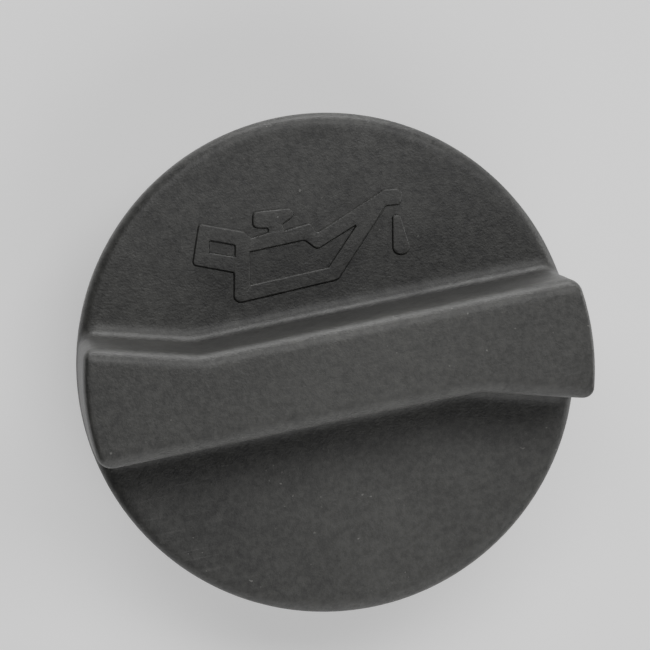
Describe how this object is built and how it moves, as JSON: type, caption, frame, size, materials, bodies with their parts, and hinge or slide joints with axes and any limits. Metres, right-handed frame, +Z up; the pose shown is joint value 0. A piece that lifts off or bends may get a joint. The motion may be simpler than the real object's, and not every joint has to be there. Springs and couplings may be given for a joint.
{
  "type": "oil filler cap",
  "caption": "Round quarter-turn oil filler cap: a flat disc with a tall flared grip bar and a raised oil-can sign, over a hollow bayonet spigot with a flat sealing ring.",
  "frame": {"origin": "on the cap's axis, at the spigot's lower end", "axes": "+Z up along the cap's axis towards the grip, +X along the grip's straight walls"},
  "size_m": [0.064, 0.064, 0.0386],
  "materials": {
    "shell_plastic": "fine-grained, matt",
    "plug_plastic": "satin, as moulded",
    "seal_rubber": "matt"
  },
  "bodies": {
    "root": {"cap_shell": "shell_plastic", "bayonet_plug": "plug_plastic", "sealing_ring": "seal_rubber"}
  },
  "joints": []
}
